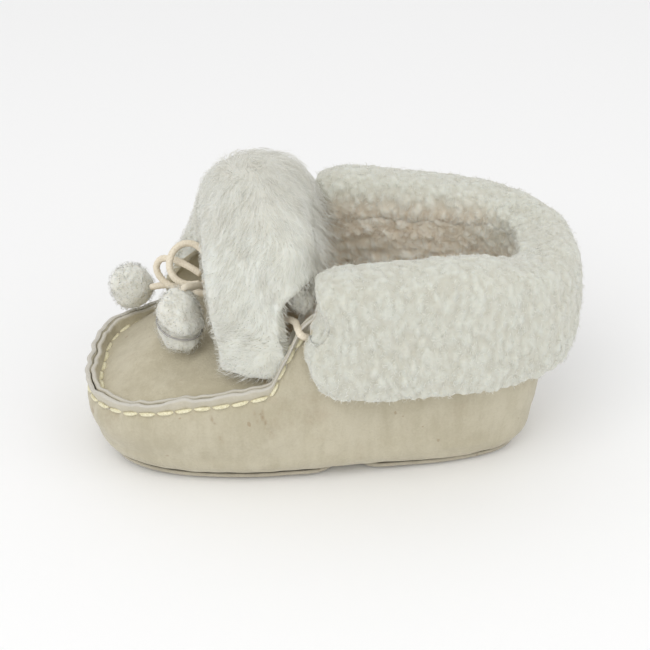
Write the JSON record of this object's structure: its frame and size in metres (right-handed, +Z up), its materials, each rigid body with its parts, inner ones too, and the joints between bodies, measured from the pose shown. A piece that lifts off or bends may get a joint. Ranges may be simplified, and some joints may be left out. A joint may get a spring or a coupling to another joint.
{
  "type": "baby slipper",
  "caption": "Soft shearling moccasin slipper with a turned-down fleece cuff, a folded tongue, and a lace tied in a bow with two pompoms.",
  "frame": {"origin": "on the floor, under the middle of the slipper's length and width", "axes": "+X to the toe, +Y to the wearer's left, +Z up"},
  "size_m": [0.1416, 0.0824, 0.089],
  "materials": {
    "suede": "sand suede, fine nap",
    "sole_suede": "greyer sand suede, rubbed",
    "fleece": "cream sheep's wool, curly",
    "lace_cord": "round cream lace"
  },
  "bodies": {
    "root": {"upper": "suede", "apron_tongue": "suede", "cuff": "fleece", "heel_sole_patch": "sole_suede", "forefoot_sole_patch": "sole_suede", "lace_ankle": "lace_cord", "lace_knot": "lace_cord", "lace_loop_large": "lace_cord", "lace_loop_small": "lace_cord", "lace_end_right": "lace_cord", "pompom_left": "fleece", "pompom_right": "fleece"}
  },
  "joints": []
}
